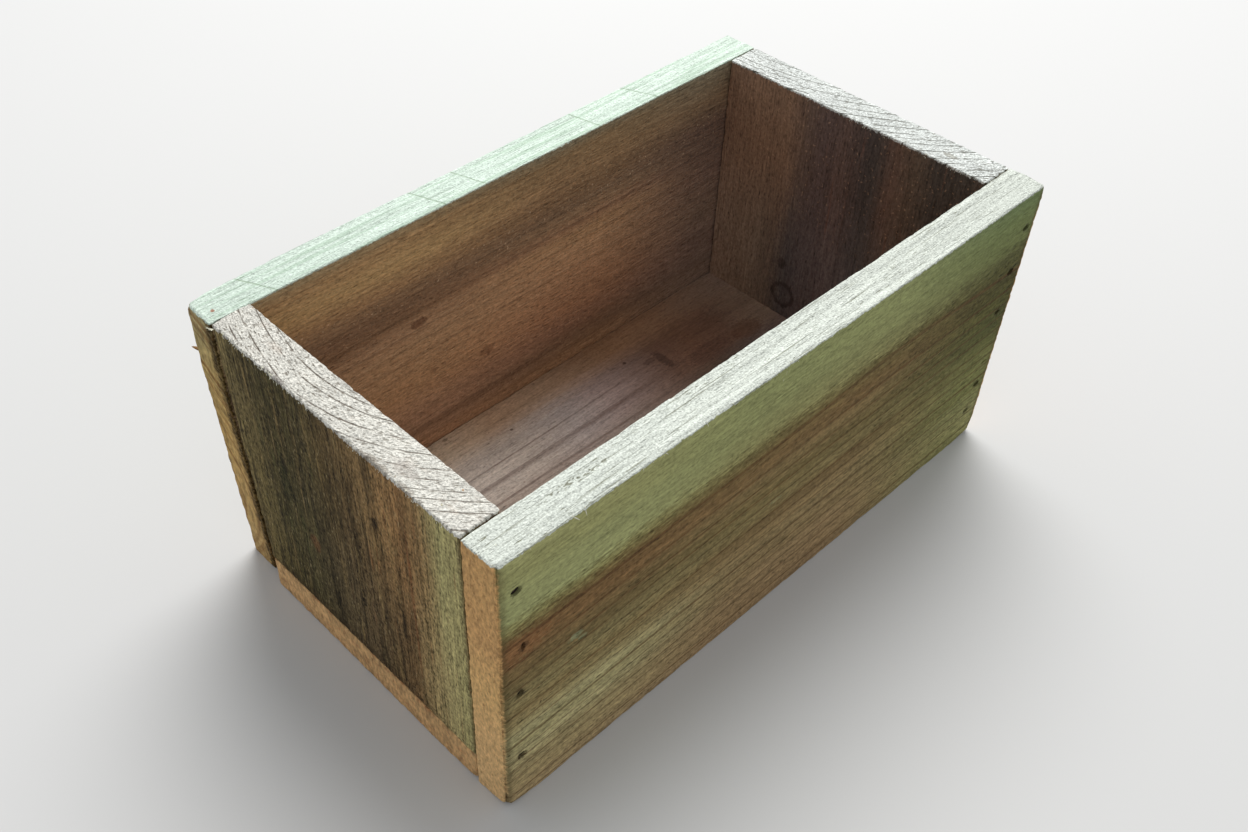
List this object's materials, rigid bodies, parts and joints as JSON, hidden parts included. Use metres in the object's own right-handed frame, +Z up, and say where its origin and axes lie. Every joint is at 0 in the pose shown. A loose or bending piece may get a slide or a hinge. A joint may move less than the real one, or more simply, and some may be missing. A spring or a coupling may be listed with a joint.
{
  "type": "planter box",
  "caption": "Small open-topped garden planter box of rough-sawn treated softwood boards, butt-jointed and nailed.",
  "frame": {"origin": "on the ground, under the middle of the box", "axes": "+X along the box from its left end to its right end, +Y from front to back, +Z up"},
  "size_m": [0.321, 0.186, 0.1508],
  "materials": {
    "green_softwood": "rough-sawn preservative-treated softwood, green-brown face, pale weathered sawn edge",
    "grey_softwood": "rough-sawn treated softwood, dark grey-brown with green and red-brown streaks, pale end grain",
    "brown_softwood": "rough-sawn treated softwood, grey-brown face, orange-brown end grain",
    "nail_steel": "dark rusted bright-steel nail"
  },
  "bodies": {
    "root": {"front_board": "green_softwood", "back_board": "green_softwood", "left_end_board": "grey_softwood", "right_end_board": "grey_softwood", "base_board": "brown_softwood", "front_left_nails": "nail_steel", "front_right_nails": "nail_steel", "back_left_nails": "nail_steel", "back_right_nails": "nail_steel", "base_left_nails": "nail_steel", "base_right_nails": "nail_steel"}
  },
  "joints": []
}
